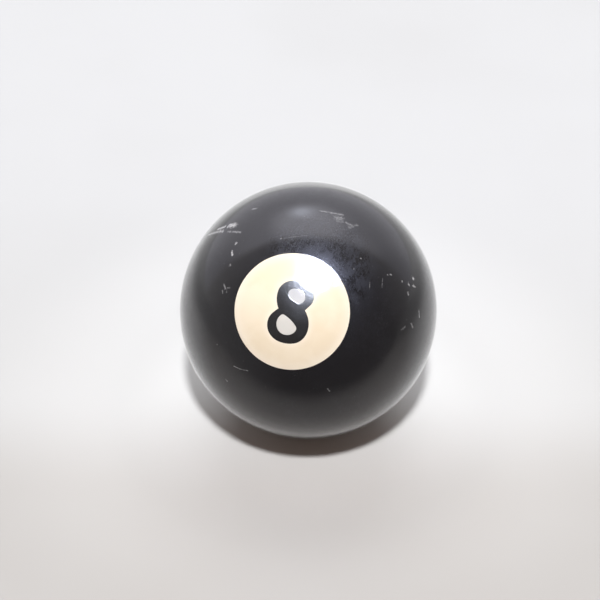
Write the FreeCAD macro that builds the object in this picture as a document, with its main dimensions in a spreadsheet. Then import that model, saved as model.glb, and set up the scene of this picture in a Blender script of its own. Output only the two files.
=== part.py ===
import FreeCAD, Part
import math
import os
import Sketcher

# A numbered pool ball: a cast phenolic ball with a number plug let into each
# of two opposite poles. A plug is an ivory disc with the figure 8 cast right
# through its depth, so the figure's two eyes are loose ivory slugs that the
# black casting surrounds.
#
# Frame: millimetres, +Z up, origin at the ball's centre. The ball rests at
# z = -radius. The front number looks towards -Y and is tipped up by
# number_tilt; the back number is at the opposite pole.
#
# Each piece is drawn about its own number axis: local Z runs out through the
# number, local Y is the top of the figure. Its Placement turns it into the
# ball's frame.

doc = FreeCAD.newDocument("pool_ball")

# ---------------------------------------------------------------- dimensions
SIZES = [
    ("ball_diameter", 57.15),      # regulation ball, 2 1/4 in
    ("disc_diameter", 24.20),      # ivory number disc, across its flat rim
    ("plug_depth", 7.00),          # from the crown of the ball to the pocket floor
    ("numeral_height", 13.25),     # top to bottom of the figure
    ("number_tilt", 39.35),        # degrees that the front number looks upwards
    ("numeral_roll", 8.80),        # degrees that the figure leans clockwise
    ("trim_clearance", 6.00),      # how far a trimming cut runs past the plug
]
sheet = doc.addObject("Spreadsheet::Sheet", "Sizes")
for row, (alias, value) in enumerate(SIZES, start=1):
    sheet.set("A%d" % row, alias)
    sheet.set("B%d" % row, "%.4f" % value)
    sheet.setAlias("B%d" % row, alias)
doc.recompute()

VALUE = dict(SIZES)
RADIUS = VALUE["ball_diameter"] / 2
DISC_R = VALUE["disc_diameter"] / 2
FLOOR_Z = RADIUS - VALUE["plug_depth"]
RIM_Z = math.sqrt(RADIUS**2 - DISC_R**2)

# The figure 8 as closed chains of arcs, drawn for a figure 13.25 high and
# scaled by numeral_height. Each entry is one arc: its start point and its
# radius. The chain runs anticlockwise, a positive radius bulges outwards and a
# negative one inwards. The heavy stroke runs from upper left to lower right.
DRAWN_HEIGHT = 13.25
FIGURE_OUTSIDE = [
    (-2.550, 0.020, 9.0),
    (-3.390, -0.985, 3.40),
    (-3.960, -4.120, 3.65),
    (-1.330, -6.500, 6.20),
    (1.760, -6.420, 3.66),
    (4.350, -3.760, 4.98),
    (2.900, 1.020, -12.8),
    (3.600, 2.187, 2.45),
    (3.700, 4.720, 3.38),
    (1.560, 6.330, 5.10),
    (-1.700, 6.110, 3.05),
    (-3.600, 3.500, 5.22),
]
UPPER_EYE = [
    (2.001, 2.450, 1.506),
    (1.375, 4.712, 2.631),
    (-0.748, 4.694, 1.046),
    (-1.078, 3.023, 2.385),
    (0.015, 2.364, -8.515),
    (0.813, 2.098, 1.012),
]
LOWER_EYE = [
    (1.996, -3.694, 0.953),
    (1.799, -2.552, 7.099),
    (-1.102, -0.924, 0.533),
    (-1.657, -1.096, 2.403),
    (-2.059, -3.476, 2.205),
    (0.711, -4.791, 2.271),
]


# ------------------------------------------------------------------ helpers
def plane(body, role):
    for item in body.Origin.OriginFeatures:
        if item.Role == role:
            return item
    raise RuntimeError("no %s in %s" % (role, body.Label))


def new_sketch(body, role, name):
    sketch = body.newObject("Sketcher::SketchObject", name)
    sketch.AttachmentSupport = [(plane(body, role), "")]
    sketch.MapMode = "FlatFace"
    return sketch


def size(sketch, kind, *args, expression):
    """Adds a driving dimension and binds it to the sheet."""
    index = sketch.addConstraint(Sketcher.Constraint(kind, *args))
    sketch.setExpression("Constraints[%d]" % index, expression)
    return index


def vec(x, y):
    return FreeCAD.Vector(x, y, 0)


def arc_mid(start, end, radius):
    """A point on the minor arc that runs anticlockwise for radius > 0."""
    dx, dy = end[0] - start[0], end[1] - start[1]
    chord = math.hypot(dx, dy)
    bulge = abs(radius) - math.sqrt(max(radius**2 - chord**2 / 4, 0.0))
    side = 1 if radius > 0 else -1
    # the outside of an anticlockwise chain is on the right of its direction
    nx, ny = dy / chord * side, -dx / chord * side
    return ((start[0] + end[0]) / 2 + nx * bulge, (start[1] + end[1]) / 2 + ny * bulge)


def outline(sketch, chain):
    """Draws one closed chain of arcs, every node and radius scaled by the
    figure's height."""
    count = len(chain)
    first = sketch.GeometryCount
    for i, (x, y, radius) in enumerate(chain):
        nxt = chain[(i + 1) % count]
        mid = arc_mid((x, y), (nxt[0], nxt[1]), radius)
        arc = Part.Arc(vec(x, y), vec(*mid), vec(nxt[0], nxt[1]))
        sketch.addGeometry(arc, False)
    for i, (x, y, radius) in enumerate(chain):
        # An arc of a sketch always runs anticlockwise about its own centre, so
        # an inward arc's first point is the chain's second.
        this, nxt = first + i, first + (i + 1) % count
        end_of_this = 2 if radius > 0 else 1
        start_of_next = 1 if chain[(i + 1) % count][2] > 0 else 2
        sketch.addConstraint(
            Sketcher.Constraint("Coincident", this, end_of_this, nxt, start_of_next)
        )
    for i, (x, y, radius) in enumerate(chain):
        point = 1 if radius > 0 else 2
        for kind, value in (("DistanceX", x), ("DistanceY", y)):
            size(
                sketch, kind, -1, 1, first + i, point, value,
                expression="Sizes.numeral_height * %.7f" % (value / DRAWN_HEIGHT),
            )
        size(
            sketch, "Radius", first + i, abs(radius),
            expression="Sizes.numeral_height * %.7f" % (abs(radius) / DRAWN_HEIGHT),
        )


def trim_circle(sketch):
    """A circle outside the plug, the far edge of a trimming cut."""
    index = sketch.addGeometry(
        Part.Circle(vec(0, 0), FreeCAD.Vector(0, 0, 1), DISC_R + VALUE["trim_clearance"]),
        False,
    )
    sketch.addConstraint(Sketcher.Constraint("Coincident", index, 3, -1, 1))
    size(
        sketch, "Radius", index, DISC_R + VALUE["trim_clearance"],
        expression="Sizes.disc_diameter / 2 + Sizes.trim_clearance",
    )


def revolve(body, sketch, name):
    feature = body.newObject("PartDesign::Revolution", name)
    feature.Profile = sketch
    feature.ReferenceAxis = (sketch, ["V_Axis"])
    feature.Angle = 360
    sketch.Visibility = False
    doc.recompute()
    return feature


def cut_through(body, sketch, name):
    """A pocket both ways through the whole body, checked to have cut."""
    before = body.Shape.Volume
    feature = body.newObject("PartDesign::Pocket", name)
    feature.Profile = sketch
    feature.Type = "ThroughAll"
    feature.Midplane = True
    sketch.Visibility = False
    doc.recompute()
    if not body.Shape.Volume < before - 0.1:
        raise RuntimeError("%s in %s cut nothing" % (name, body.Label))
    return feature


def turned(body, facing):
    """Turns a piece from its own number axis into the ball's frame."""
    if facing == "front":
        tip = "rotation(vector(1; 0; 0); 90 - Sizes.number_tilt)"
    else:
        tip = (
            "rotation(vector(0; 0; 1); 180) * "
            "rotation(vector(1; 0; 0); 90 + Sizes.number_tilt)"
        )
    body.setExpression(
        "Placement",
        "placement(vector(0; 0; 0); %s * rotation(vector(0; 0; 1); -Sizes.numeral_roll))"
        % tip,
    )


def plug_blank(body):
    """The whole plug: a short cylinder whose top is part of the ball's
    surface."""
    sketch = new_sketch(body, "XZ_Plane", body.Name + "_half")
    floor = sketch.addGeometry(Part.LineSegment(vec(0, FLOOR_Z), vec(DISC_R, FLOOR_Z)), False)
    wall = sketch.addGeometry(Part.LineSegment(vec(DISC_R, FLOOR_Z), vec(DISC_R, RIM_Z)), False)
    crown = sketch.addGeometry(
        Part.ArcOfCircle(
            Part.Circle(vec(0, 0), FreeCAD.Vector(0, 0, 1), RADIUS),
            math.atan2(RIM_Z, DISC_R), math.pi / 2,
        ),
        False,
    )
    axis = sketch.addGeometry(Part.LineSegment(vec(0, RADIUS), vec(0, FLOOR_Z)), False)
    sketch.addConstraint([
        Sketcher.Constraint("Coincident", floor, 2, wall, 1),
        Sketcher.Constraint("Coincident", wall, 2, crown, 1),
        Sketcher.Constraint("Coincident", crown, 2, axis, 1),
        Sketcher.Constraint("Coincident", axis, 2, floor, 1),
        Sketcher.Constraint("Coincident", crown, 3, -1, 1),
        Sketcher.Constraint("Horizontal", floor),
        Sketcher.Constraint("Vertical", wall),
        Sketcher.Constraint("PointOnObject", axis, 1, -2),
        Sketcher.Constraint("PointOnObject", axis, 2, -2),
    ])
    size(sketch, "Radius", crown, RADIUS, expression="Sizes.ball_diameter / 2")
    size(sketch, "DistanceX", -1, 1, wall, 1, DISC_R, expression="Sizes.disc_diameter / 2")
    size(
        sketch, "DistanceY", -1, 1, axis, 2, FLOOR_Z,
        expression="Sizes.ball_diameter / 2 - Sizes.plug_depth",
    )
    return revolve(body, sketch, body.Name + "_blank")


def make_body(label):
    body = doc.addObject("PartDesign::Body", label)
    body.Label = label
    return body


# ------------------------------------------------------------- the black ball
# One turn of the half section: the sphere, with a flat-bottomed round pocket at
# each pole.
ball = make_body("ball_body")
half = new_sketch(ball, "XZ_Plane", "ball_half_section")
top_floor = half.addGeometry(Part.LineSegment(vec(0, FLOOR_Z), vec(DISC_R, FLOOR_Z)), False)
top_wall = half.addGeometry(Part.LineSegment(vec(DISC_R, FLOOR_Z), vec(DISC_R, RIM_Z)), False)
skin = half.addGeometry(
    Part.ArcOfCircle(
        Part.Circle(vec(0, 0), FreeCAD.Vector(0, 0, 1), RADIUS),
        -math.atan2(RIM_Z, DISC_R), math.atan2(RIM_Z, DISC_R),
    ),
    False,
)
low_wall = half.addGeometry(Part.LineSegment(vec(DISC_R, -RIM_Z), vec(DISC_R, -FLOOR_Z)), False)
low_floor = half.addGeometry(Part.LineSegment(vec(DISC_R, -FLOOR_Z), vec(0, -FLOOR_Z)), False)
core = half.addGeometry(Part.LineSegment(vec(0, -FLOOR_Z), vec(0, FLOOR_Z)), False)
half.addConstraint([
    Sketcher.Constraint("Coincident", top_floor, 2, top_wall, 1),
    Sketcher.Constraint("Coincident", top_wall, 2, skin, 2),
    Sketcher.Constraint("Coincident", skin, 1, low_wall, 1),
    Sketcher.Constraint("Coincident", low_wall, 2, low_floor, 1),
    Sketcher.Constraint("Coincident", low_floor, 2, core, 1),
    Sketcher.Constraint("Coincident", core, 2, top_floor, 1),
    Sketcher.Constraint("Coincident", skin, 3, -1, 1),
    Sketcher.Constraint("Horizontal", top_floor),
    Sketcher.Constraint("Horizontal", low_floor),
    Sketcher.Constraint("Vertical", top_wall),
    Sketcher.Constraint("Vertical", low_wall),
    Sketcher.Constraint("PointOnObject", core, 1, -2),
    Sketcher.Constraint("PointOnObject", core, 2, -2),
])
size(half, "Radius", skin, RADIUS, expression="Sizes.ball_diameter / 2")
size(half, "DistanceX", -1, 1, top_wall, 1, DISC_R, expression="Sizes.disc_diameter / 2")
size(half, "DistanceX", -1, 1, low_wall, 2, DISC_R, expression="Sizes.disc_diameter / 2")
size(
    half, "DistanceY", -1, 1, core, 2, FLOOR_Z,
    expression="Sizes.ball_diameter / 2 - Sizes.plug_depth",
)
size(
    half, "DistanceY", core, 1, -1, 1, FLOOR_Z,
    expression="Sizes.ball_diameter / 2 - Sizes.plug_depth",
)
revolve(ball, half, "ball_turned")
turned(ball, "front")

# ------------------------------------------------------- a plug at each pole
pieces = [ball]
for facing in ("front", "back"):
    # the ivory disc, with the figure's outline cut through it
    disc = make_body(facing + "_number_disc")
    plug_blank(disc)
    cut = new_sketch(disc, "XY_Plane", facing + "_figure_window")
    outline(cut, FIGURE_OUTSIDE)
    cut_through(disc, cut, facing + "_figure_cut")

    # the black figure: the blank trimmed to the outline, then its two eyes
    figure = make_body(facing + "_numeral")
    plug_blank(figure)
    trim = new_sketch(figure, "XY_Plane", facing + "_figure_trim")
    trim_circle(trim)
    outline(trim, FIGURE_OUTSIDE)
    cut_through(figure, trim, facing + "_figure_outside")
    eyes = new_sketch(figure, "XY_Plane", facing + "_figure_eyes")
    outline(eyes, UPPER_EYE)
    outline(eyes, LOWER_EYE)
    cut_through(figure, eyes, facing + "_eyes_cut")

    pieces += [disc, figure]

    # the ivory slugs in the two eyes
    for name, chain in (("_upper_counter", UPPER_EYE), ("_lower_counter", LOWER_EYE)):
        slug = make_body(facing + name)
        plug_blank(slug)
        trim = new_sketch(slug, "XY_Plane", facing + name + "_trim")
        trim_circle(trim)
        outline(trim, chain)
        cut_through(slug, trim, facing + name + "_outside")
        pieces.append(slug)

    for body in pieces[-4:]:
        turned(body, facing)

doc.recompute()

# ------------------------------------------------------------------- checks
for item in doc.Objects:
    bad = [state for state in item.State if state in ("Invalid", "Error")]
    if bad:
        raise RuntimeError("%s is %s" % (item.Name, bad))

total = 0.0
for body in pieces:
    shape = body.Shape
    if shape.isNull() or not shape.isValid() or len(shape.Solids) != 1:
        raise RuntimeError("%s has no single valid solid" % body.Label)
    total += shape.Volume
    print("%-22s %10.2f mm3" % (body.Label, shape.Volume))

# the pieces fill the ball exactly: no gap and no overlap
whole = 4 / 3 * math.pi * RADIUS**3
print("all pieces %.2f mm3, whole ball %.2f mm3" % (total, whole))
if abs(total - whole) > 1.0:
    raise RuntimeError("the pieces don't fill the ball")

os.makedirs("parts", exist_ok=True)
for body in pieces:
    body.Shape.exportStep(os.path.join("parts", body.Label + ".step"))
print("wrote %d parts" % len(pieces))
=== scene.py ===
import math

import bpy
import numpy as np
from mathutils import Matrix, Vector, noise as mnoise
from mathutils.geometry import delaunay_2d_cdt


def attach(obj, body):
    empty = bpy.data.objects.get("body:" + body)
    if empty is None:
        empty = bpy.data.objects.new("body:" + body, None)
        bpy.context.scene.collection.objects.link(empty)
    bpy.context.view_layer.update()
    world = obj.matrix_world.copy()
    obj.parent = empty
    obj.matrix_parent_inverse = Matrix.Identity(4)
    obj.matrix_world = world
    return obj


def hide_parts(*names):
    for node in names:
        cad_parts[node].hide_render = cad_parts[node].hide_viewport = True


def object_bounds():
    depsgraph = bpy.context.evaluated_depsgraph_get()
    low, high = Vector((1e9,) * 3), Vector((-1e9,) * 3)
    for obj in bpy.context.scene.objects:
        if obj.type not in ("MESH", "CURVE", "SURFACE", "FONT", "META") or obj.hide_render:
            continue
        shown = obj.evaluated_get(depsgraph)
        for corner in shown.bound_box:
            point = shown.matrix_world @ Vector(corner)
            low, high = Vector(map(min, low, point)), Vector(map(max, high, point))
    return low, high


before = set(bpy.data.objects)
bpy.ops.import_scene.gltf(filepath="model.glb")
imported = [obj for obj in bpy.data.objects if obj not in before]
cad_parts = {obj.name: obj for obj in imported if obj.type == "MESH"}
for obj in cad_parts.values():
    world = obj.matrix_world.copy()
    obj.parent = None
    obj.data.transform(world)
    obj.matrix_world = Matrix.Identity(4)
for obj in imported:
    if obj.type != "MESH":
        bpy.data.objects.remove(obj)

CAD_LO, CAD_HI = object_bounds()
MM = 0.001

# The sphere that every visible face lies on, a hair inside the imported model's box.
R = min(-CAD_LO.x, CAD_HI.x, -CAD_LO.y, CAD_HI.y, -CAD_LO.z, CAD_HI.z) - 3e-6
FLOOR_Z = CAD_LO.z
DISC_R = 12.10 * MM              # radius of the ivory plug, seen along its axis
PLUG_Z = 21.575 * MM             # flat floor of both pockets, from the ball's centre

# ---------------------------------------------------------------- frames
# Each figure has its own frame: Z out through the number, Y to the top of the
# figure, X to its right.
FRONT = Matrix.Rotation(math.radians(90 - 39.35), 3, "X") @ Matrix.Rotation(math.radians(-8.8), 3, "Z")
BACK = Matrix.Rotation(math.pi, 3, "Z") @ Matrix.Rotation(math.radians(90 + 39.35), 3, "X") @ Matrix.Rotation(math.radians(-8.8), 3, "Z")

CAM_AZ, CAM_EL, CAM_DIST = math.radians(9.77), math.radians(40.50), 0.385
VIEW_BACK = Vector((math.sin(CAM_AZ) * math.cos(CAM_EL), -math.cos(CAM_AZ) * math.cos(CAM_EL), math.sin(CAM_EL)))
VIEW_RIGHT = Vector((math.cos(CAM_AZ), math.sin(CAM_AZ), 0.0))
VIEW_UP = VIEW_BACK.cross(VIEW_RIGHT)


def toward(azimuth, elevation):
    """Unit vector from the ball: azimuth in degrees to the right of the camera's, elevation in degrees."""
    a, e = CAM_AZ + math.radians(azimuth), math.radians(elevation)
    return Vector((math.sin(a) * math.cos(e), -math.cos(a) * math.cos(e), math.sin(e)))


# ---------------------------------------------------------------- outlines
# Closed anticlockwise chains of arcs, in mm: start point and radius of each arc.
# A positive radius bulges outward, a negative one inward.
FIGURE_OUTSIDE = [
    (-2.550, 0.020, 9.0), (-3.390, -0.985, 3.40), (-3.960, -4.120, 3.65), (-1.330, -6.500, 6.20),
    (1.760, -6.420, 3.66), (4.350, -3.760, 4.98), (2.900, 1.020, -12.8), (3.600, 2.187, 2.45),
    (3.700, 4.720, 3.38), (1.560, 6.330, 5.10), (-1.700, 6.110, 3.05), (-3.600, 3.500, 5.22)]
UPPER_EYE = [
    (2.001, 2.450, 1.506), (1.375, 4.712, 2.631), (-0.748, 4.694, 1.046),
    (-1.078, 3.023, 2.385), (0.015, 2.364, -8.515), (0.813, 2.098, 1.012)]
LOWER_EYE = [
    (1.996, -3.694, 0.953), (1.799, -2.552, 7.099), (-1.102, -0.924, 0.533),
    (-1.657, -1.096, 2.403), (-2.059, -3.476, 2.205), (0.711, -4.791, 2.271)]

STEP = 0.13          # spacing of outline points, mm
GRID = 0.27          # spacing of points inside a cap, mm
RINGS = (0.0, 0.025, 0.055, 0.095, 0.15)     # distances from an outline, mm
LIP = 0.016          # depth of the fine seam at an outline, mm


def lip_drop(d):
    """Depth of the surface under the sphere at distance d from an outline, and its slope, in mm."""
    if d >= RINGS[-1]:
        return 0.0, 0.0
    t = 1.0 - d / RINGS[-1]
    return LIP * t * t, -2.0 * LIP * t / RINGS[-1]


def chain(arcs):
    """Points and inward normals along a closed chain of arcs."""
    pts, nrm = [], []
    for i, (x0, y0, radius) in enumerate(arcs):
        x1, y1, _ = arcs[(i + 1) % len(arcs)]
        dx, dy = x1 - x0, y1 - y0
        chord = math.hypot(dx, dy)
        r, side = abs(radius), (1.0 if radius > 0 else -1.0)
        h = math.sqrt(max(r * r - chord * chord / 4, 0.0))
        out = (dy / chord, -dx / chord)
        cx, cy = (x0 + x1) / 2 - out[0] * h * side, (y0 + y1) / 2 - out[1] * h * side
        a0 = math.atan2(y0 - cy, x0 - cx)
        sweep = 2 * math.asin(min(chord / (2 * r), 1.0)) * side
        n = max(3, math.ceil(abs(sweep) * r / STEP))
        for k in range(n):
            a = a0 + sweep * k / n
            pts.append((cx + r * math.cos(a), cy + r * math.sin(a)))
            nrm.append((-math.cos(a) * side, -math.sin(a) * side))
    return np.array(pts), np.array(nrm)


def circle(radius):
    n = math.ceil(2 * math.pi * radius / STEP)
    a = np.arange(n) * 2 * math.pi / n
    p = np.stack([np.cos(a), np.sin(a)], 1)
    return p * radius, -p


def inside(poly, pts):
    """Which of pts lie in the closed polygon."""
    x, y = pts[:, 0][:, None], pts[:, 1][:, None]
    x0, y0 = poly[:, 0][None], poly[:, 1][None]
    x1, y1 = np.roll(poly[:, 0], -1)[None], np.roll(poly[:, 1], -1)[None]
    cross = (y0 > y) != (y1 > y)
    with np.errstate(divide="ignore", invalid="ignore"):
        xi = x0 + (y - y0) * (x1 - x0) / (y1 - y0)
    return (np.count_nonzero(cross & (x < xi), axis=1) % 2).astype(bool)


def distance(poly, pts):
    """Distance from pts to the closed polygon's edge."""
    a, b = poly, np.roll(poly, -1, 0)
    best = np.full(len(pts), 1e9)
    for s in range(0, len(pts), 2000):
        p = pts[s:s + 2000][:, None]
        ab = (b - a)[None]
        t = np.clip(((p - a[None]) * ab).sum(2) / (ab * ab).sum(2), 0, 1)
        best[s:s + 2000] = np.linalg.norm(p - a[None] - ab * t[..., None], axis=2).min(1)
    return best


def to_mesh(name, verts, faces, loop_normals, smooth=True):
    me = bpy.data.meshes.new(name)
    me.from_pydata([tuple(v) for v in verts], [], faces)
    me.polygons.foreach_set("use_smooth", [smooth] * len(me.polygons))
    me.update()
    me.normals_split_custom_set([tuple(n) for n in loop_normals])
    ob = bpy.data.objects.new(name, me)
    bpy.context.scene.collection.objects.link(ob)
    return ob


def plug_piece(name, frame3, outer, holes):
    """A closed solid between the pocket floor and the sphere, with straight walls along the figure's axis.
    outer and holes are (points, inward normals) of closed anticlockwise outlines."""
    loops = [(outer[0], outer[1])] + [(h[0][::-1], -h[1][::-1]) for h in holes]
    pts, grad, dist, loop_of = [], [], [], []
    for li, (p, n) in enumerate(loops):
        for ri, d in enumerate(RINGS):
            q = p + n * d
            if ri:
                keep = np.ones(len(q), bool)
                for lj, (p2, _) in enumerate(loops):
                    keep &= distance(p2, q) > d * 0.93
                q, nn = q[keep], n[keep]
            else:
                nn = n
            pts.append(q)
            grad.append(nn)
            dist.append(np.full(len(q), d))
            loop_of.append(np.full(len(q), li if ri == 0 else -1))
    span = np.abs(outer[0]).max() + GRID
    k = int(span / GRID) + 1
    gx, gy = np.meshgrid(np.arange(-k, k + 1) * GRID, np.arange(-k, k + 1) * GRID * 0.8660254)
    gx[::2] += GRID / 2
    g = np.stack([gx.ravel(), gy.ravel()], 1)
    ok = inside(outer[0], g)
    for h in holes:
        ok &= ~inside(h[0], g)
    g = g[ok]
    near = np.min([distance(p, g) for p, _ in loops], axis=0)
    g = g[near > RINGS[-1] + GRID * 0.45]
    pts.append(g)
    grad.append(np.zeros_like(g))
    dist.append(np.full(len(g), 1e3))
    loop_of.append(np.full(len(g), -1))
    pts, grad, dist = np.concatenate(pts), np.concatenate(grad), np.concatenate(dist)
    loop_of = np.concatenate(loop_of)
    rings = [np.flatnonzero(loop_of == li) for li in range(len(loops))]
    edges = [(int(r[i]), int(r[(i + 1) % len(r)])) for r in rings for i in range(len(r))]

    def triangles(sub):
        co = pts[sub]
        back = {int(v): i for i, v in enumerate(sub)}
        ed = [(back[a], back[b]) for a, b in edges]
        vs, _, fs, ov, _, _ = delaunay_2d_cdt([Vector(c) for c in co], ed, [], 0, 1e-7, True)
        tri = np.array([f for f in fs if len(f) == 3])
        out = np.array([tuple(v) for v in vs])
        c = out[tri].mean(1)
        ok2 = inside(outer[0], c)
        for h in holes:
            ok2 &= ~inside(h[0], c)
        src = np.array([sub[o[0]] for o in ov])
        tri = src[tri[ok2]]
        a, b, c3 = pts[tri[:, 0]], pts[tri[:, 1]], pts[tri[:, 2]]
        area = (b[:, 0] - a[:, 0]) * (c3[:, 1] - a[:, 1]) - (b[:, 1] - a[:, 1]) * (c3[:, 0] - a[:, 0])
        tri[area < 0] = tri[area < 0][:, ::-1]
        return tri

    top = triangles(np.arange(len(pts)))
    edge_ids = np.concatenate(rings)
    bottom = triangles(edge_ids)[:, ::-1]

    rmm = R / MM
    z = np.sqrt(rmm * rmm - (pts ** 2).sum(1))
    n = np.stack([pts[:, 0], pts[:, 1], z], 1) / rmm
    drop = np.zeros(len(pts))
    nn = n.copy()
    for i in np.flatnonzero(dist < RINGS[-1]):
        drop[i], slope = lip_drop(dist[i])
        nn[i, :2] += slope * grad[i]
    nn /= np.linalg.norm(nn, axis=1)[:, None]
    # the lip goes down along the figure's axis, so outlines stay true and pieces meet
    top_co = np.stack([pts[:, 0], pts[:, 1], z - drop], 1)
    low = {int(v): len(pts) + i for i, v in enumerate(edge_ids)}
    low_co = np.stack([pts[edge_ids, 0], pts[edge_ids, 1], np.full(len(edge_ids), PLUG_Z / MM)], 1)
    co = np.concatenate([top_co, low_co])
    faces, norms = [], []
    for t in top:
        faces.append([int(v) for v in t])
        norms += [nn[v] for v in t]
    for t in bottom:
        faces.append([low[int(v)] for v in t])
        norms += [(0, 0, -1)] * 3
    for r in rings:
        for i in range(len(r)):
            a, b = int(r[i]), int(r[(i + 1) % len(r)])
            faces.append([a, low[a], low[b], b])
            for v in (a, a, b, b):
                norms.append((-grad[v][0], -grad[v][1], 0.0))
    M = np.array(frame3)
    ob = to_mesh(name, co * MM @ M.T, faces, np.array(norms) @ M.T)
    # how near the outline each point of the face is: the ivory plug's colour is paler there
    near = np.concatenate([np.min([distance(p, pts) * w for (p, _), w in zip(loops, [1.0] + [1.6] * (len(loops) - 1))], axis=0),
                           np.zeros(len(edge_ids))])
    ob.data.attributes.new("edge", "FLOAT", "POINT").data.foreach_set("value", np.exp(-(near / 1.25) ** 2).astype(np.float32))
    return ob


def rotated_frame(v):
    """Two unit vectors square to v."""
    k = np.array([0.0, 0.0, 1.0]) if abs(v[2]) < 0.9 else np.array([1.0, 0.0, 0.0])
    a = np.cross(v, k)
    a /= np.linalg.norm(a)
    return a, np.cross(v, a)


def segment_distance(p, a, b):
    """Distance from unit vectors p to the short arc from a to b, in mm on the ball."""
    run = b - a
    k = run @ run
    t = np.clip(((p - a) @ run) / k, 0, 1) if k > 1e-9 else np.zeros(len(p))
    return np.linalg.norm(p - a - t[:, None] * run, axis=1) * (R / MM)


def hex_patch(centre, reach, step):
    """Unit vectors on a fine triangular grid round a point, reach and step in mm."""
    u, w = rotated_frame(centre)
    k = int(reach / step) + 2
    gx, gy = np.meshgrid(np.arange(-k, k + 1) * step, np.arange(-k, k + 1) * step * 0.8660254)
    gx[::2] += step / 2
    g = np.stack([gx.ravel(), gy.ravel()], 1) / (R / MM)
    g = g[(g ** 2).sum(1) < (reach * MM / R) ** 2]
    p = centre + g[:, :1] * u + g[:, 1:] * w
    return p / np.linalg.norm(p, axis=1)[:, None]


def ripple(p, scale, amount):
    """Smooth seeded noise at unit vectors p, from -amount to amount."""
    return np.array([mnoise.noise(Vector(v) * scale) for v in p]) * amount


def ball_piece(name, marks):
    """The resin ball: the sphere between both pocket rims, the rims' fine lip, the pocket walls and floors.
    The mesh is fine where a mark sits, and each mark is a real shallow dent; the vertex layer wear
    carries where the surface is scuffed."""
    rmm = R / MM
    disc = DISC_R / MM
    seg = 400
    rim_angle = math.asin(disc / rmm)
    ang = np.arange(seg) * 2 * math.pi / seg
    ca, sa = np.cos(ang), np.sin(ang)
    dirs, ring_d, ring_s = [], [], []
    for sgn in (1, -1):
        for d in RINGS:
            th = rim_angle + d / rmm
            dirs.append(np.stack([math.sin(th) * ca, math.sin(th) * sa, np.full(seg, sgn * math.cos(th))], 1))
            ring_d.append(np.full(seg, d))
            ring_s.append(np.full(seg, sgn))
    n_ring = seg * len(RINGS) * 2
    start = rim_angle + (RINGS[-1] + 0.30) / rmm
    step = 0.50
    rows = int((math.pi - 2 * start) * rmm / (step * 0.8660254))
    plain = []
    for k in range(rows + 1):
        th = start + (math.pi - 2 * start) * k / rows
        n = int(2 * math.pi * rmm * math.sin(th) / step)
        a = (np.arange(n) + (k % 2) * 0.5) * 2 * math.pi / n
        plain.append(np.stack([math.sin(th) * np.cos(a), math.sin(th) * np.sin(a), np.full(n, math.cos(th))], 1))
    plain = np.concatenate(plain)
    fine = np.zeros((0, 3))
    segs = []
    for a, b, width, gain in marks:
        a, b = np.array(a, float), np.array(b, float)
        segs.append((a / np.linalg.norm(a), b / np.linalg.norm(b), width, gain))
    for reach, spacing in ((0.22, 0.115), (0.62, 0.25)):
        for a, b, width, gain in segs:
            mid = (a + b) / np.linalg.norm(a + b)
            size = np.linalg.norm(b - a) * rmm / 2 + width + reach
            q = hex_patch(mid, size + 0.2, spacing)
            q = q[segment_distance(q, a, b) < width + reach]
            th = np.arccos(np.clip(np.abs(q[:, 2]), 0, 1))
            q = q[th > start + 0.15 / rmm]
            if len(fine) and len(q):
                gap = np.full(len(q), 9.0)
                for s0 in range(0, len(q), 400):
                    dd = ((q[s0:s0 + 400, None] - fine[None]) ** 2).sum(2).min(1)
                    gap[s0:s0 + 400] = np.sqrt(dd) * rmm
                q = q[gap > spacing * 0.72]
            fine = np.concatenate([fine, q])
    far = np.ones(len(plain), bool)
    for a, b, width, gain in segs:
        far &= segment_distance(plain, a, b) > width + 0.62 + 0.16
    dirs.append(plain[far])
    dirs.append(fine)
    dirs = np.concatenate(dirs)
    flat = dirs[:, :2] / (1 + dirs[:, 2:3])
    r0 = np.arange(seg)
    r1 = seg * len(RINGS) + np.arange(seg)
    edges = [(int(r[i]), int(r[(i + 1) % seg])) for r in (r0, r1) for i in range(seg)]
    vs, _, fs, ov, _, _ = delaunay_2d_cdt([Vector(c) for c in flat], edges, [], 0, 1e-9, True)
    tri = np.array([f for f in fs if len(f) == 3])
    src = np.array([o[0] for o in ov])
    tri = src[tri]
    c = flat[tri].mean(1)
    hole = flat[r0]
    tri = tri[~((c ** 2).sum(1) < (hole ** 2).sum(1).min())]
    a, b, c3 = flat[tri[:, 0]], flat[tri[:, 1]], flat[tri[:, 2]]
    area = (b[:, 0] - a[:, 0]) * (c3[:, 1] - a[:, 1]) - (b[:, 1] - a[:, 1]) * (c3[:, 0] - a[:, 0])
    tri[area < 0] = tri[area < 0][:, ::-1]

    # wear, and the dents that go with it
    wear, sink = np.zeros(len(dirs)), np.zeros(len(dirs))
    first_fine = len(dirs) - len(fine)
    body = np.arange(n_ring, len(dirs))
    for k, (a, b, width, gain) in enumerate(segs):
        d = segment_distance(dirs[body], a, b)
        hit = body[d < width + 0.35]
        if not len(hit):
            continue
        d = segment_distance(dirs[hit], a, b)
        d = d + ripple(dirs[hit] + 0.37 * k, 80.0, 0.8 * width) + ripple(dirs[hit] + 0.11 * k, 260.0, 0.7 * width)
        t = np.clip(1.25 - d / width, 0, 1)
        t = t * t * (3 - 2 * t)
        wear[hit] = np.maximum(wear[hit], t * gain)
        sink[hit] = np.maximum(sink[hit], t * min(0.030, 0.12 * width) * (0.5 + 0.5 * gain))
    z_drop = np.zeros(len(dirs))
    normals = dirs.copy()
    rd, rs = np.concatenate(ring_d), np.concatenate(ring_s)
    for i in range(n_ring):
        drop, slope = lip_drop(rd[i])
        z_drop[i] = drop * rs[i]
        h = math.hypot(dirs[i, 0], dirs[i, 1])
        normals[i, 0] += slope * dirs[i, 0] / h
        normals[i, 1] += slope * dirs[i, 1] / h
    co = dirs * (rmm - sink)[:, None]
    co[:, 2] -= z_drop
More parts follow.
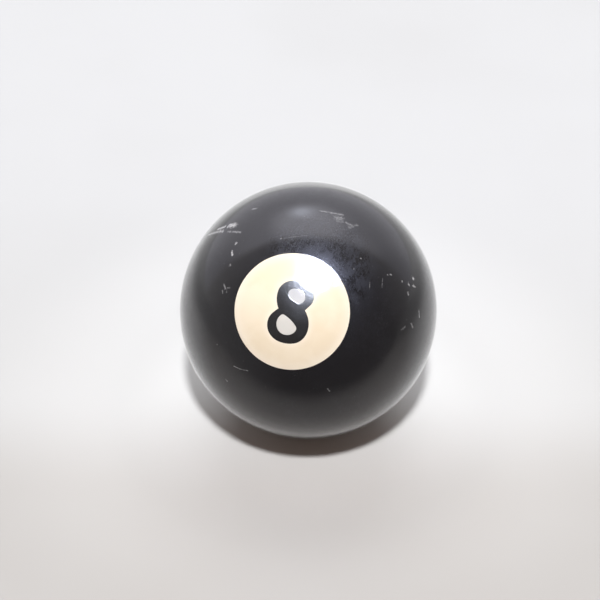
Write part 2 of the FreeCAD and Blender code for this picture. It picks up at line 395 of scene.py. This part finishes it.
    # normals of the dents from the mesh itself, less the part that is only its tessellation
    def mesh_normals(v):
        n = np.zeros_like(v)
        f = np.cross(v[tri[:, 1]] - v[tri[:, 0]], v[tri[:, 2]] - v[tri[:, 0]])
        for j in range(3):
            np.add.at(n, tri[:, j], f)
        k = np.linalg.norm(n, axis=1)
        k[k == 0] = 1
        return n / k[:, None]
    dent = mesh_normals(dirs * (rmm - sink)[:, None]) - mesh_normals(dirs * rmm)
    normals[n_ring:] += dent[n_ring:]
    normals /= np.linalg.norm(normals, axis=1)[:, None]

    verts = [tuple(v) for v in co]
    faces = [[int(x) for x in t] for t in tri]
    norms = [normals[x] for t in tri for x in t]

    def ring(r, z):
        base = len(verts)
        verts.extend(zip(r * ca, r * sa, np.full(seg, z)))
        return base

    def band(b0, b1, n0, n1):
        for i in range(seg):
            j = (i + 1) % seg
            faces.append([b0 + i, b1 + i, b1 + j, b0 + j])
            for k, n in ((i, n0), (i, n1), (j, n1), (j, n0)):
                norms.append((n[0] * ca[k], n[0] * sa[k], n[1]))

    floor_z = PLUG_Z / MM
    for sgn, top, z_top in ((1, 0, co[0, 2]), (-1, int(r1[0]), -co[0, 2])):
        prev = top
        for k in range(1, 5):                      # pocket wall
            z = abs(z_top) + (floor_z - abs(z_top)) * k / 4
            cur = ring(disc, sgn * z)
            if sgn > 0:
                band(cur, prev, (-1, 0), (-1, 0))
            else:
                band(prev, cur, (-1, 0), (-1, 0))
            prev = cur
        for r in (9.0, 6.0, 3.0, 1.0):             # pocket floor
            cur = ring(r, sgn * floor_z)
            if sgn > 0:
                band(cur, prev, (0, 1), (0, 1))
            else:
                band(prev, cur, (0, -1), (0, -1))
            prev = cur
        c = len(verts)
        verts.append((0, 0, sgn * floor_z))
        for i in range(seg):
            j = (i + 1) % seg
            faces.append([c, prev + i, prev + j] if sgn > 0 else [c, prev + j, prev + i])
            norms += [(0, 0, sgn)] * 3
    M = np.array(FRONT)
    ob = to_mesh(name, np.array(verts) * MM @ M.T, faces, np.array(norms) @ M.T)
    full = np.zeros(len(verts), np.float32)
    full[:len(wear)] = wear
    ob.data.attributes.new("wear", "FLOAT", "POINT").data.foreach_set("value", full)
    return ob


# ---------------------------------------------------------------- shader helpers
class Tree:
    def __init__(self, tree):
        self.t = tree

    def node(self, kind, **props):
        n = self.t.nodes.new(kind)
        for k, v in props.items():
            setattr(n, k, v)
        return n

    def put(self, socket, value):
        if isinstance(value, bpy.types.NodeSocket):
            self.t.links.new(value, socket)
        elif value is not None:
            socket.default_value = value

    def math(self, op, a, b=None, c=None, clamp=False):
        n = self.node("ShaderNodeMath", operation=op, use_clamp=clamp)
        for s, v in zip(n.inputs, (a, b, c)):
            self.put(s, v)
        return n.outputs[0]

    def vec(self, op, a, b=None, scale=None):
        n = self.node("ShaderNodeVectorMath", operation=op)
        self.put(n.inputs[0], a)
        if b is not None:
            self.put(n.inputs[1], b)
        if scale is not None:
            self.put(n.inputs["Scale"], scale)
        return n.outputs["Value"] if op in ("DOT_PRODUCT", "LENGTH", "DISTANCE") else n.outputs["Vector"]

    def noise(self, vector, scale, detail=2.0, rough=0.5, distortion=0.0, out=0):
        n = self.node("ShaderNodeTexNoise")
        self.put(n.inputs["Vector"], vector)
        n.inputs["Scale"].default_value = scale
        n.inputs["Detail"].default_value = detail
        n.inputs["Roughness"].default_value = rough
        n.inputs["Distortion"].default_value = distortion
        return n.outputs[out]

    def cells(self, vector, scale, feature="F1", out="Distance", randomness=1.0):
        n = self.node("ShaderNodeTexVoronoi", feature=feature)
        self.put(n.inputs["Vector"], vector)
        n.inputs["Scale"].default_value = scale
        n.inputs["Randomness"].default_value = randomness
        return n.outputs[out]

    def band(self, value, a, b, c=0.0, d=1.0, smooth=True):
        n = self.node("ShaderNodeMapRange", interpolation_type="SMOOTHSTEP" if smooth else "LINEAR")
        self.put(n.inputs["Value"], value)
        for k, v in (("From Min", a), ("From Max", b), ("To Min", c), ("To Max", d)):
            self.put(n.inputs[k], v)
        return n.outputs["Result"]

    def mix(self, fac, a, b, blend="MIX"):
        n = self.node("ShaderNodeMix", data_type="RGBA", blend_type=blend)
        self.put(n.inputs[0], fac)
        self.put(n.inputs[6], a)
        self.put(n.inputs[7], b)
        return n.outputs[2]

    def stretch(self, vector, axis, along, across):
        """Coordinates that run slowly along axis and fast across it, for streaks along it."""
        a = Vector(axis).normalized()
        u = a.orthogonal().normalized()
        w = a.cross(u)
        n = self.node("ShaderNodeCombineXYZ")
        for s, v, k in zip(n.inputs, (a, u, w), (along, across, across)):
            self.put(s, self.vec("DOT_PRODUCT", vector, tuple(v * k)))
        return n.outputs[0]

    def bump(self, height, strength, dist, normal=None):
        n = self.node("ShaderNodeBump")
        n.inputs["Strength"].default_value = strength
        n.inputs["Distance"].default_value = dist
        self.put(n.inputs["Height"], height)
        if normal is not None:
            self.put(n.inputs["Normal"], normal)
        return n.outputs[0]


def material(name):
    m = bpy.data.materials.new(name)
    m.use_nodes = True
    m.node_tree.nodes.clear()
    t = Tree(m.node_tree)
    shader = t.node("ShaderNodeBsdfPrincipled")
    out = t.node("ShaderNodeOutputMaterial")
    m.node_tree.links.new(shader.outputs[0], out.inputs["Surface"])
    return m, t, shader


def figure_coords(t, frame3):
    """The surface point in a figure's own frame, in ball radii."""
    co = t.node("ShaderNodeTexCoord").outputs["Object"]
    n = t.node("ShaderNodeCombineXYZ")
    for s, k in zip(n.inputs, range(3)):
        t.put(s, t.vec("DOT_PRODUCT", co, tuple(Vector(frame3.col[k]) / R)))
    return n.outputs[0]


# Scuffs on the black resin near the front number, in the front figure's frame and in ball radii:
# start, end, half width in mm, strength.
SCUFFS = [
    ((-0.6690, 0.4804, 0.5672), (-0.6237, 0.4987, 0.6019), 0.62, 1.00),
    ((-0.7632, 0.4317, 0.4807), (-0.7096, 0.4649, 0.5294), 0.40, 0.90),
    ((-0.8334, 0.3748, 0.4062), (-0.7099, 0.4289, 0.5586), 0.40, 0.80),
    ((-0.6601, 0.4360, 0.6117), (-0.5509, 0.4569, 0.6984), 0.26, 0.40),
    ((-0.5364, 0.6461, 0.5430), (-0.5086, 0.6587, 0.5545), 0.30, 0.35),
    ((-0.5539, 0.3712, 0.7452), (-0.5539, 0.3712, 0.7452), 0.30, 1.00),
    ((-0.5664, 0.3053, 0.7655), (-0.5549, 0.2833, 0.7822), 0.26, 1.00),
    ((-0.5445, 0.2068, 0.8129), (-0.5445, 0.2068, 0.8129), 0.28, 0.90),
    ((-0.5476, 0.0568, 0.8348), (-0.5274, 0.0325, 0.8490), 0.20, 0.42),
    ((-0.5128, 0.0416, 0.8575), (-0.4931, 0.0452, 0.8688), 0.14, 0.32),
    ((-0.5476, 0.0121, 0.8367), (-0.5396, -0.0078, 0.8419), 0.16, 0.34),
    ((-0.5145, 0.0305, 0.8569), (-0.5104, 0.0059, 0.8599), 0.12, 0.28),
    ((-0.0265, 0.7587, 0.6509), (0.0372, 0.7684, 0.6389), 0.20, 0.30),
    ((0.0574, 0.7676, 0.6384), (0.1412, 0.7756, 0.6152), 0.30, 0.30),
    ((0.1050, 0.7450, 0.6587), (0.1420, 0.7440, 0.6529), 0.55, 0.24),
    ((0.1209, 0.7219, 0.6813), (0.1490, 0.7269, 0.6704), 0.42, 0.13),
    ((0.1864, 0.7266, 0.6613), (0.2346, 0.7166, 0.6569), 0.34, 0.24),
    ((0.2200, 0.6960, 0.6835), (0.2661, 0.7310, 0.6283), 0.34, 0.18),
    ((-0.2097, 0.4980, 0.8414), (-0.1346, 0.5284, 0.8383), 0.09, 0.16),
    ((-0.1346, 0.5284, 0.8383), (-0.0447, 0.5632, 0.8251), 0.09, 0.14),
    ((-0.2236, 0.4929, 0.8409), (-0.2236, 0.4929, 0.8409), 0.18, 0.55),
    ((0.3738, 0.5009, 0.7807), (0.3738, 0.5009, 0.7807), 0.16, 0.50),
    ((0.3504, 0.4141, 0.8401), (0.3504, 0.4141, 0.8401), 0.16, 0.45),
    ((0.5856, 0.4338, 0.6848), (0.5856, 0.4338, 0.6848), 0.20, 0.60),
    ((0.6037, 0.4421, 0.6634), (0.6080, 0.4418, 0.6596), 0.20, 0.60),
    ((0.6929, 0.4141, 0.5903), (0.6929, 0.4141, 0.5903), 0.22, 0.70),
    ((0.7583, 0.4553, 0.4666), (0.7583, 0.4553, 0.4666), 0.38, 1.00),
    ((0.7391, 0.4082, 0.5358), (0.7462, 0.4009, 0.5315), 0.26, 0.72),
    ((0.7699, 0.4016, 0.4959), (0.7893, 0.3979, 0.4677), 0.22, 0.70),
    ((0.7544, 0.3430, 0.5597), (0.7615, 0.3327, 0.5562), 0.24, 0.72),
    ((0.8606, 0.2333, 0.4528), (0.8760, 0.1910, 0.4428), 0.20, 0.55),
    ((0.7843, 0.0701, 0.6164), (0.8019, 0.0943, 0.5899), 0.22, 0.24),
    ((0.8385, 0.1263, 0.5300), (0.8510, 0.1049, 0.5145), 0.24, 0.50),
    ((-0.3261, -0.5070, 0.7979), (-0.2717, -0.5141, 0.8135), 0.11, 0.50),
    ((-0.2717, -0.5141, 0.8135), (-0.2108, -0.5085, 0.8349), 0.10, 0.40),
    ((-0.4942, -0.3859, 0.7790), (-0.4942, -0.3859, 0.7790), 0.16, 0.45),
    ((-0.3808, -0.6294, 0.6774), (-0.3658, -0.6392, 0.6765), 0.16, 0.35),
    ((0.3847, -0.4826, 0.7868), (0.4017, -0.4972, 0.7691), 0.14, 0.35),
    ((0.4840, 0.3509, 0.8016), (0.4956, 0.3013, 0.8146), 0.07, 0.30),
    ((0.5599, 0.3981, 0.7267), (0.5745, 0.3384, 0.7453), 0.07, 0.30),
]


# The middle of the part of the face that is most rubbed and where the highlight falls, in the front figure's frame: its
# scratches carry a painted glint.
WEAR_AND_GLINT = FRONT.transposed() @ (VIEW_RIGHT * 0.100 + VIEW_UP * 0.380 + VIEW_BACK * 0.920)


def more_scuffs(seed, count):
    """Light wear on the rest of the ball, away from the part that SCUFFS covers."""
    rng = np.random.default_rng(seed)
    out = []
    while len(out) < count:
        v = rng.normal(size=3)
        v /= np.linalg.norm(v)
        if v[2] > -0.15 or abs(v[2]) > 0.88:
            continue
        t = np.cross(v, rng.normal(size=3))
        t /= np.linalg.norm(t)
        length = rng.choice([0.0, 0.02, 0.05, 0.12])
        b = v + t * length
        b /= np.linalg.norm(b)
        out.append((tuple(float(c) for c in v), tuple(float(c) for c in b),
                    float(rng.uniform(0.10, 0.28)), float(rng.uniform(0.3, 0.8))))
    return out


def fine_scratches(t, p, axes, threshold, across=620.0, along=26.0):
    """Sparse hair-thin streaks in a few directions, as a mask."""
    total = None
    for k, axis in enumerate(axes):
        q = t.stretch(p, axis, along, across)
        q = t.vec("ADD", q, (17.3 * k, 5.1 * k, 9.7 * k))
        n = t.noise(q, 1.0, 1.0, 0.4)
        s = t.band(n, threshold, threshold + 0.09)
        total = s if total is None else t.math("MAXIMUM", total, s)
    return total


def haze(t, q, axes, across=120.0, along=17.0):
    """Short crossing rub marks: they break up a highlight without dulling the polish."""
    total = None
    for k, axis in enumerate(axes):
        v = t.vec("ADD", t.stretch(q, axis, along, across), (3.1 * k, 11.9 * k, 6.3 * k))
        n = t.noise(v, 1.0, 2.0, 0.6)
        total = n if total is None else t.math("ADD", total, n)
    return total


def black_resin():
    m, t, s = material("black_resin_polished")
    p = figure_coords(t, FRONT)
    scuff = t.node("ShaderNodeAttribute", attribute_name="wear").outputs["Fac"]
    broken = t.noise(t.stretch(p, (1.0, 0.30, 0.12), 26.0, 165.0), 1.0, 2.0, 0.6)
    broken = t.math("MULTIPLY_ADD", t.noise(p, 240.0, 2.0, 0.7), 0.8, broken)
    scuff = t.math("MULTIPLY", scuff, t.band(broken, 0.66, 1.10, 0.22, 1.0))
    lines = fine_scratches(t, p, ((1.0, 0.25, 0.1), (0.2, 1.0, -0.3), (0.6, -0.7, 0.5), (-0.4, 0.5, 0.9)), 0.66)
    patch = t.band(t.noise(p, 3.1, 3.0, 0.55), 0.40, 0.66)
    lines = t.math("MULTIPLY", lines, t.math("MULTIPLY_ADD", patch, 0.75, 0.25))
    specks = t.band(t.cells(p, 34.0), 0.075, 0.035)
    specks = t.math("MULTIPLY", specks, t.band(t.noise(p, 9.0, 1.0), 0.5, 0.62))
    cloud = t.noise(p, 5.0, 4.0, 0.6)
    base = t.mix(cloud, (0.0036, 0.0027, 0.0030, 1), (0.0064, 0.0050, 0.0054, 1))
    wear_and_glint = t.band(t.vec("DOT_PRODUCT", p, tuple(WEAR_AND_GLINT)), 0.88, 0.975, 0.12, 1.0)
    # partly real scratches, partly painted glint: the lines are coloured light bluish grey, faintly everywhere and much
    # more strongly round the highlight
    base = t.mix(t.math("MULTIPLY", lines, t.math("MULTIPLY_ADD", wear_and_glint, 0.30, 0.07)), base, (0.29, 0.31, 0.36, 1))
    base = t.mix(t.math("MULTIPLY", specks, 0.35), base, (0.40, 0.39, 0.37, 1))
    base = t.mix(t.math("MULTIPLY", scuff, 0.85), base, (0.66, 0.66, 0.68, 1))
    t.put(s.inputs["Base Color"], base)
    rub = haze(t, p, ((1.0, 0.9, 0.3), (-0.8, 1.0, 0.2), (0.1, 1.0, -0.6)))
    grain = t.noise(p, 14.0, 2.0)
    rub = t.math("MULTIPLY", t.math("ADD", t.math("SUBTRACT", rub, 2.08), grain), wear_and_glint)
    rough = t.band(rub, -0.24, 0.22, 0.25, 0.55)
    rough = t.math("ADD", rough, t.math("MULTIPLY", scuff, 0.3), clamp=True)
    t.put(s.inputs["Roughness"], rough)
    s.inputs["Specular IOR Level"].default_value = 0.155
    s.inputs["Specular Tint"].default_value = (0.86, 0.87, 1.0, 1)
    coat = t.math("SUBTRACT", 1.0, t.math("MULTIPLY", scuff, 0.85))
    coat = t.math("SUBTRACT", coat, t.math("MULTIPLY", lines, 0.22), clamp=True)
    t.put(s.inputs["Coat Weight"], coat)
    s.inputs["Coat Roughness"].default_value = 0.045
    s.inputs["Coat IOR"].default_value = 1.52
    height = t.math("MULTIPLY", lines, -0.25)
    height = t.math("ADD", height, t.math("MULTIPLY", scuff, -1.0))
    height = t.math("ADD", height, t.math("MULTIPLY", grain, 0.35))
    normal = t.bump(height, 0.35, 0.00003)
    t.put(s.inputs["Coat Normal"], normal)
    t.put(s.inputs["Normal"], t.bump(rub, 0.6, 0.00003, normal))
    return m


def ivory_resin(name, frame3, warm, pale, seed, edge=0.0, top=0.0):
    m, t, s = material(name)
    p = figure_coords(t, frame3)
    q = t.vec("ADD", p, (seed, seed * 0.7, 0.0))
    cloud = t.noise(q, 4.5, 4.0, 0.55, 0.4)
    grain = t.noise(q, 150.0, 3.0, 0.6)
    base = t.mix(t.band(cloud, 0.35, 0.65), warm, pale)
    base = t.mix(t.band(grain, 0.60, 0.78, 0.0, 0.10), base, (0.70, 0.56, 0.40, 1))
    specks = t.band(t.cells(q, 26.0), 0.050, 0.022)
    specks = t.math("MULTIPLY", specks, t.band(t.noise(q, 11.0, 1.0), 0.52, 0.60))
    base = t.mix(t.math("MULTIPLY", specks, 0.45), base, (0.35, 0.29, 0.22, 1))
    lines = fine_scratches(t, q, ((1.0, 0.3, 0.0), (0.3, 1.0, 0.1), (0.7, -0.7, 0.2)), 0.68)
    base = t.mix(t.math("MULTIPLY", lines, 0.07), base, (0.55, 0.47, 0.38, 1))
    # painted shade: the plug's colour is darker towards the top of the figure, where the key light falls strongest
    high = t.band(t.vec("DOT_PRODUCT", p, (0.0, 1.0, 0.0)), 0.05, 0.34, 0.0, top)
    base = t.mix(high, base, (0.745, 0.625, 0.455, 1))
    # the plug's colour is paler near its outlines
    pale_beside_outline = t.node("ShaderNodeAttribute", attribute_name="edge").outputs["Fac"]
    base = t.mix(t.math("MULTIPLY", pale_beside_outline, edge), base, (0.90, 0.86, 0.78, 1))
    t.put(s.inputs["Base Color"], base)
    t.put(s.inputs["Roughness"], t.band(t.noise(q, 9.0, 3.0), 0.3, 0.7, 0.32, 0.40))
    s.inputs["Specular IOR Level"].default_value = 0.06
    t.put(s.inputs["Coat Weight"], t.math("SUBTRACT", 1.0, t.math("MULTIPLY", lines, 0.25)))
    s.inputs["Coat Roughness"].default_value = 0.05
    s.inputs["Coat IOR"].default_value = 1.52
    height = t.math("ADD", t.math("MULTIPLY", lines, -0.25), t.math("MULTIPLY", t.noise(q, 14.0, 2.0), 0.35))
    normal = t.bump(height, 0.35, 0.00003)
    t.put(s.inputs["Normal"], normal)
    t.put(s.inputs["Coat Normal"], normal)
    return m


def figure_resin(name, frame3, seed):
    m, t, s = material(name)
    p = figure_coords(t, frame3)
    q = t.vec("ADD", p, (seed, seed * 0.6, 0.0))
    cloud = t.noise(q, 6.0, 4.0, 0.6)
    base = t.mix(cloud, (0.0045, 0.0035, 0.0033, 1), (0.0095, 0.0080, 0.0075, 1))
    specks = t.band(t.cells(q, 44.0), 0.080, 0.035)
    specks = t.math("MULTIPLY", specks, t.band(t.noise(q, 13.0, 1.0), 0.50, 0.62))
    base = t.mix(t.math("MULTIPLY", specks, 0.35), base, (0.40, 0.37, 0.33, 1))
    lines = fine_scratches(t, q, ((1.0, 0.2, 0.0), (0.1, 1.0, 0.2)), 0.66)
    base = t.mix(t.math("MULTIPLY", lines, 0.07), base, (0.30, 0.30, 0.32, 1))
    t.put(s.inputs["Base Color"], base)
    t.put(s.inputs["Roughness"], t.band(t.noise(q, 9.0, 3.0), 0.3, 0.7, 0.30, 0.36))
    s.inputs["Specular IOR Level"].default_value = 0.34
    t.put(s.inputs["Coat Weight"], t.math("SUBTRACT", 1.0, t.math("MULTIPLY", lines, 0.25)))
    s.inputs["Coat Roughness"].default_value = 0.05
    s.inputs["Coat IOR"].default_value = 1.52
    height = t.math("ADD", t.math("MULTIPLY", lines, -0.25), t.math("MULTIPLY", t.noise(q, 14.0, 2.0), 0.35))
    normal = t.bump(height, 0.35, 0.00003)
    t.put(s.inputs["Coat Normal"], normal)
    t.put(s.inputs["Normal"], t.bump(haze(t, q, ((1.0, 0.8, 0.2), (-0.7, 1.0, 0.1))), 0.6, 0.00003, normal))
    return m


# ---------------------------------------------------------------- pieces
def fit(ob, node, mat):
    ob.data.materials.append(mat)
    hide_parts(node)
    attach(ob, "root")
    return ob


fit(ball_piece("resin_ball", SCUFFS + more_scuffs(8, 16)), "ball_body", black_resin())
rim = circle(DISC_R / MM)
figure, upper, lower = chain(FIGURE_OUTSIDE), chain(UPPER_EYE), chain(LOWER_EYE)
for side, frame3, seed in (("front", FRONT, 0.0), ("back", BACK, 7.3)):
    ivory = ivory_resin(side + "_ivory_plug", frame3, (0.762, 0.662, 0.504, 1), (0.792, 0.702, 0.554, 1), seed, 0.35, 0.8)
    lower_ivory = ivory_resin(side + "_lower_ivory", frame3, (0.590, 0.585, 0.560, 1), (0.650, 0.640, 0.606, 1), seed + 3.1)
    # painted shade and painted highlight tint: the upper slug is coloured darker than the lower one to offset the
    # highlight spreading over it, and bluer, like that highlight
    upper_ivory = ivory_resin(side + "_upper_ivory", frame3, (0.465, 0.480, 0.510, 1), (0.520, 0.535, 0.555, 1), seed + 5.2)
    ink = figure_resin(side + "_black_figure", frame3, seed)
    fit(plug_piece(side + "_plug", frame3, rim, [figure]), side + "_number_disc", ivory)
    fit(plug_piece(side + "_figure", frame3, figure, [upper, lower]), side + "_numeral", ink)
    fit(plug_piece(side + "_upper_slug", frame3, upper, []), side + "_upper_counter", upper_ivory)
    fit(plug_piece(side + "_lower_slug", frame3, lower, []), side + "_lower_counter", lower_ivory)

# ---------------------------------------------------------------- camera
scene = bpy.context.scene
cam = bpy.data.cameras.new("camera")
cam.sensor_width = 36.0
cam.sensor_fit = "HORIZONTAL"
cam.lens = 1730.9 * 36.0 / 600.0
cam.clip_start, cam.clip_end = 0.01, 50.0
cam_ob = bpy.data.objects.new("camera", cam)
base = Matrix((VIEW_RIGHT, VIEW_UP, VIEW_BACK)).transposed()
aim = base @ Matrix.Rotation(math.radians(0.2745), 3, "Y") @ Matrix.Rotation(math.radians(0.3290), 3, "X")
cam_ob.matrix_world = Matrix.Translation(VIEW_BACK * CAM_DIST) @ aim.to_4x4()
scene.collection.objects.link(cam_ob)
scene.camera = cam_ob


# ---------------------------------------------------------------- floor
def plane(name, x0, x1, y0, y1, z):
    me = bpy.data.meshes.new(name)
    me.from_pydata([(x0, y0, z), (x1, y0, z), (x1, y1, z), (x0, y1, z)], [], [(0, 1, 2, 3)])
    ob = bpy.data.objects.new(name, me)
    scene.collection.objects.link(ob)
    return ob


AWAY = Vector((-math.sin(CAM_AZ), math.cos(CAM_AZ), 0.0))      # level, away from the camera


def only(ob, camera=False, diffuse=False, glossy=False, shadow=False):
    ob.visible_camera, ob.visible_diffuse, ob.visible_glossy, ob.visible_shadow = camera, diffuse, glossy, shadow
    ob.visible_transmission = False


def paper(t, co):
    """The matt paper of the floor, with a trace of unevenness and with painted shade and light: darker towards the
    camera, lighter and cooler far behind the ball, and lighter in a ring round the ball where its shadow falls.
    """
    away = t.vec("DOT_PRODUCT", co, tuple(AWAY))
    # painted shade: the paper is darker towards the camera, and lighter and cooler far behind the ball
    c = t.mix(t.band(away, -0.030, 0.004), (0.368, 0.356, 0.345, 1), (0.448, 0.449, 0.450, 1))
    c = t.mix(t.band(away, 0.0, 0.09), c, (0.476, 0.482, 0.494, 1))
    c = t.mix(t.band(t.noise(co, 11.0, 3.0, 0.5), 0.35, 0.70, 0.0, 0.3), c, (0.421, 0.421, 0.423, 1))
    # painted light: the paper is lighter in a ring round the ball, which lifts the ball's shadow
    near = t.vec("LENGTH", t.vec("MULTIPLY", co, (1.0, 1.0, 0.0)))
    gain = t.math("ADD", t.band(near, 0.046, 0.016, 1.0, 1.26), t.band(near, 0.085, 0.045, -0.02, 0.10))
    return t.vec("SCALE", c, scale=gain)


floor = plane("floor", -3.0, 3.0, -3.0, 3.0, FLOOR_Z - 1e-5)
fm, ft, fs = material("pale_floor")
ft.put(fs.inputs["Base Color"], paper(ft, ft.node("ShaderNodeTexCoord").outputs["Object"]))
fs.inputs["Roughness"].default_value = 0.95
fs.inputs["Specular IOR Level"].default_value = 0.05
floor.data.materials.append(fm)
only(floor, camera=True)

# The same paper as the ball meets it, in bounced light and in its gloss: it ends a little way in front of the ball. It
# carries painted shade towards its sides and far off, and a painted reflection: a glow that only the ball's gloss sees.
sheet = plane("floor_under", -1.5, 1.5, -1.5, 2.5, FLOOR_Z - 2e-5)
gm = bpy.data.materials.new("paper_under")
gm.use_nodes = True
gm.node_tree.nodes.clear()
gt = Tree(gm.node_tree)
gco = gt.node("ShaderNodeTexCoord").outputs["Object"]
away = gt.vec("DOT_PRODUCT", gco, tuple(AWAY))
across = gt.math("ABSOLUTE", gt.math("ADD", gt.vec("DOT_PRODUCT", gco, tuple(VIEW_RIGHT)), 0.012))
far = gt.band(gt.vec("LENGTH", gt.vec("MULTIPLY", gco, (1.0, 1.0, 0.0))), 0.06, 0.24)
diff = gt.node("ShaderNodeBsdfDiffuse")
# painted shade: the paper's colour is darkened towards the sides and far from the ball
gt.put(diff.inputs["Color"], gt.vec("SCALE", paper(gt, gco), scale=gt.math("MULTIPLY", gt.band(across, 0.22, 0.04, 0.50, 0.87), gt.band(far, 0.0, 1.0, 1.0, 0.3))))
glowing = gt.node("ShaderNodeEmission")
# painted reflection: emission seen only by glossy rays, strongest behind the ball
lit = gt.math("MULTIPLY", gt.band(across, 0.240, 0.075), gt.band(away, -0.03, 0.03))
lit = gt.math("MULTIPLY", lit, 0.27)
lit = gt.math("MULTIPLY_ADD", gt.math("MULTIPLY", gt.band(across, 0.16, 0.04), gt.band(away, 0.03, 0.12)), 0.22, lit)
lit = gt.math("MULTIPLY_ADD", far, gt.band(away, 0.02, 0.30, 0.26, 0.60), lit)
gt.put(glowing.inputs["Strength"], gt.math("MULTIPLY", lit, gt.node("ShaderNodeLightPath").outputs["Is Glossy Ray"]))
both = gt.node("ShaderNodeAddShader")
gt.put(both.inputs[0], diff.outputs[0])
gt.put(both.inputs[1], glowing.outputs[0])
clear = gt.node("ShaderNodeBsdfTransparent")
mixs = gt.node("ShaderNodeMixShader")
outg = gt.node("ShaderNodeOutputMaterial")
gt.put(mixs.inputs[0], gt.band(away, -0.074, -0.042))
gt.put(mixs.inputs[1], clear.outputs[0])
gt.put(mixs.inputs[2], both.outputs[0])
gt.put(outg.inputs["Surface"], mixs.outputs[0])
sheet.data.materials.append(gm)
only(sheet, diffuse=True, glossy=True)


# ---------------------------------------------------------------- lights
def lamp(name, direction, dist, size, energy, colour, diffuse=True, glossy=True):
    la = bpy.data.lights.new(name, "AREA")
    la.shape = "DISK"
    la.size = size
    la.energy = energy
    la.color = colour
    ob = bpy.data.objects.new(name, la)
    d = Vector(direction).normalized()
    ob.matrix_world = Matrix.Translation(d * dist) @ d.to_track_quat("Z", "Y").to_matrix().to_4x4()
    ob.visible_camera = False
    ob.visible_diffuse = diffuse
    ob.visible_glossy = glossy
    scene.collection.objects.link(ob)
    return ob


lamp("key", toward(1.7, 62.3), 1.60, 0.134, 31.0, (0.985, 0.985, 0.99), glossy=False)
lamp("back_panel", toward(180, 50), 0.80, 0.80, 5.0, (0.97, 1.0, 1.02), glossy=False)
lamp("key_gloss", (0.1591, -0.3382, 0.9275), 0.50, 0.235, 13.0, (0.86, 0.93, 1.12), diffuse=False)

# ---------------------------------------------------------------- surroundings
# A bright backdrop behind and above the ball, a dim room in front of it.
world = bpy.data.worlds.new("studio")
scene.world = world
world.use_nodes = True
world.node_tree.nodes.clear()
world.cycles.sampling_method = "NONE"
wt = Tree(world.node_tree)
d = wt.vec("NORMALIZE", wt.node("ShaderNodeTexCoord").outputs["Generated"])
behind = wt.vec("DOT_PRODUCT", d, tuple(AWAY))
up = wt.vec("DOT_PRODUCT", d, (0.0, 0.0, 1.0))
hard = wt.band(behind, 0.21, 0.37)
soft = wt.band(behind, -0.35, 0.35)
left = wt.band(wt.vec("DOT_PRODUCT", d, tuple(-VIEW_RIGHT)), 0.2, 1.0)
panel = wt.band(wt.vec("DOT_PRODUCT", d, tuple(toward(180, 57))), math.cos(math.radians(30)), math.cos(math.radians(6)))
climb = wt.band(up, 0.36, 0.84)
fill = wt.math("MULTIPLY_ADD", left, 0.28, wt.math("MULTIPLY_ADD", soft, 0.35, 0.20))
bright = wt.math("MULTIPLY_ADD", panel, 1.5, wt.math("MULTIPLY_ADD", climb, 0.65, 0.65))
aside = wt.band(wt.math("ABSOLUTE", wt.vec("DOT_PRODUCT", d, tuple(VIEW_RIGHT))), 0.92, 0.72, 0.42, 1.0)
light = wt.math("MULTIPLY_ADD", hard, wt.math("MULTIPLY", bright, aside), fill)
wide = wt.mix(wt.band(behind, -0.4, 0.5), (0.30, 0.215, 0.175, 1), (0.50, 0.50, 0.51, 1))
glow_at = wt.vec("DOT_PRODUCT", d, tuple(Vector((-0.1859, 0.7052, 0.6842)).normalized()))
glow = wt.math("ADD", wt.math("MULTIPLY", wt.band(glow_at, math.cos(math.radians(11)), math.cos(math.radians(1))), 1.0),
               wt.math("MULTIPLY", wt.band(glow_at, math.cos(math.radians(6)), math.cos(math.radians(1))), 1.2))
gloss_light = wt.vec("SCALE", wt.mix(hard, (1.0, 0.985, 0.99, 1), (0.985, 0.98, 1.06, 1)), scale=wt.math("MULTIPLY", light, 0.78))
gloss_light = wt.vec("ADD", gloss_light, wt.vec("SCALE", (0.88, 0.96, 1.12), scale=glow))
room_light = wt.vec("SCALE", wide, scale=wt.band(up, -0.08, 0.02, 0.25, 1.0))
lp = wt.node("ShaderNodeLightPath")
bg = wt.node("ShaderNodeBackground")
wo = wt.node("ShaderNodeOutputWorld")
wt.put(bg.inputs["Color"], wt.mix(lp.outputs["Is Glossy Ray"], room_light, gloss_light))
wt.put(wo.inputs["Surface"], bg.outputs[0])

scene.view_settings.view_transform = "Standard"
scene.view_settings.look = "None"
scene.view_settings.exposure = 0.0
scene.view_settings.gamma = 1.0
